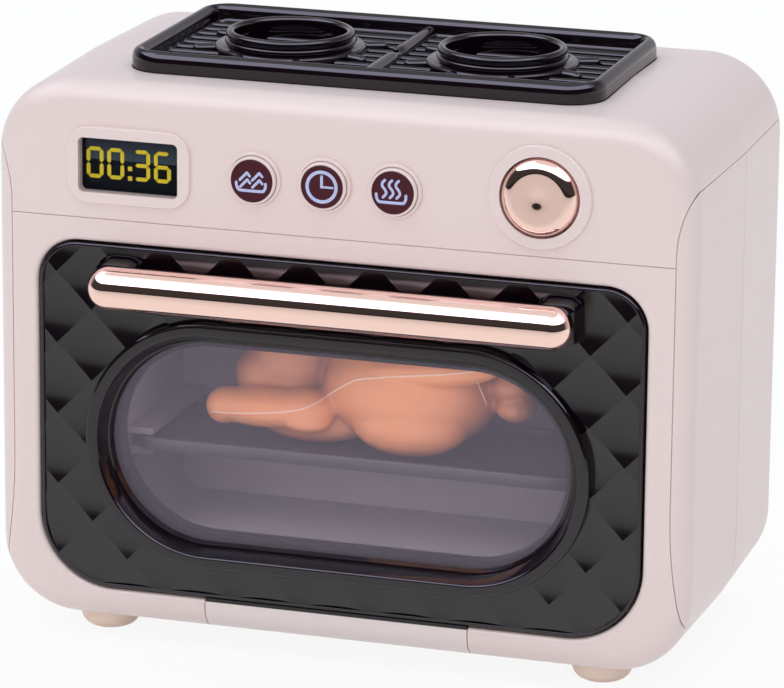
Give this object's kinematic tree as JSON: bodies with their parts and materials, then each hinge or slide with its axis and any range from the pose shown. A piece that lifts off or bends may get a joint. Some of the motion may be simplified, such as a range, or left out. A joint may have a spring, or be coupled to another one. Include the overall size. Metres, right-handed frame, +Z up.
{
  "type": "toy oven",
  "caption": "Play oven with a drop-down windowed door, a tray with a roast chicken, push buttons, a clock and a pretend hob on its lid.",
  "frame": {"origin": "on the surface that the feet stand on, under the middle of the overall box", "axes": "+X to the right seen from the front, +Y to the back, +Z up"},
  "size_m": [0.213, 0.125, 0.1782],
  "materials": {
    "case_cream": "satin cream moulded plastic",
    "hob_black": "glossy black",
    "foot_pink": "soft translucent pink",
    "liner_cream": "matt pale plastic",
    "tray_black": "glossy black",
    "chicken_brown": "painted roast brown, darker on top",
    "door_black": "glossy black, quilted",
    "window_smoke": "clear smoked sheet",
    "plated_rose": "vacuum-plated, mirror bright rose",
    "button_cream": "glossy cream",
    "button_maroon": "glossy dark red with printed icons",
    "lens_clear": "clear tinted lens",
    "display_black": "black with yellow segments",
    "board_green": "solder-masked circuit board",
    "switch_black": "matt black",
    "screw_steel": "zinc-plated steel",
    "pin_steel": "bright steel",
    "speaker_black": "black frame and cone",
    "cell_case": "printed metal jacket, no marks",
    "contact_steel": "nickel-plated spring steel"
  },
  "bodies": {
    "case": {"top_shell": "case_cream", "front_frame": "case_cream", "body_shell": "case_cream", "rear_cover": "case_cream", "foot_front_left": "foot_pink", "foot_rear_left": "foot_pink", "foot_front_right": "foot_pink", "foot_rear_right": "foot_pink", "cavity_liner": "liner_cream", "hob_plate": "hob_black", "hinge_pins": "pin_steel", "case_screws": "screw_steel", "clock_lens": "lens_clear", "clock_display": "display_black", "control_board": "board_green", "tact_switches": "switch_black", "board_screws": "screw_steel", "speaker": "speaker_black", "battery_bay": "case_cream", "battery_cells": "cell_case", "battery_contacts": "contact_steel"},
    "door": {"door_panel": "door_black", "door_window": "window_smoke", "door_back": "case_cream", "door_screws": "screw_steel", "handle_bar": "plated_rose", "handle_screws": "screw_steel"},
    "tray": {"tray": "tray_black"},
    "chicken": {"chicken_upper_shell": "chicken_brown", "chicken_lower_shell": "chicken_brown"},
    "button_1": {"button_cap_1": "button_cream", "button_disc_1": "button_maroon"},
    "button_2": {"button_cap_2": "button_cream", "button_disc_2": "button_maroon"},
    "button_3": {"button_cap_3": "button_cream", "button_disc_3": "button_maroon"},
    "start_button": {"start_button": "plated_rose"},
    "battery_door": {"battery_door": "case_cream", "battery_door_screw": "screw_steel"}
  },
  "joints": [
    {"name": "door_hinge", "type": "hinge", "parent": "case", "child": "door", "pos_m": [0, -0.045, 0.0118], "axis": [1, 0, 0], "range_deg": [0, 83]},
    {"name": "tray_slide", "type": "slide", "parent": "case", "child": "tray", "axis": [0, -1, 0], "range_m": [0, 0.0301]},
    {"name": "chicken_lift", "type": "slide", "parent": "tray", "child": "chicken", "axis": [0, 0, 1], "range_m": [0, 0.008]},
    {"name": "button_1_press", "type": "slide", "parent": "case", "child": "button_1", "axis": [0, 1, 0], "range_m": [0, 0.0016], "stiffness_N_per_m": 500, "springref_m": -0.001},
    {"name": "button_2_press", "type": "slide", "parent": "case", "child": "button_2", "axis": [0, 1, 0], "range_m": [0, 0.0016], "stiffness_N_per_m": 500, "springref_m": -0.001},
    {"name": "button_3_press", "type": "slide", "parent": "case", "child": "button_3", "axis": [0, 1, 0], "range_m": [0, 0.0016], "stiffness_N_per_m": 500, "springref_m": -0.001},
    {"name": "start_press", "type": "slide", "parent": "case", "child": "start_button", "axis": [0, 1, 0], "range_m": [0, 0.0016], "stiffness_N_per_m": 500, "springref_m": -0.001},
    {"name": "battery_door_pull", "type": "slide", "parent": "case", "child": "battery_door", "axis": [0, 1, 0], "range_m": [0, 0.012]}
  ],
  "couplings": [
    {"joint": "tray_slide", "follows": "door_hinge", "m_per_rad": 0.020709}
  ]
}
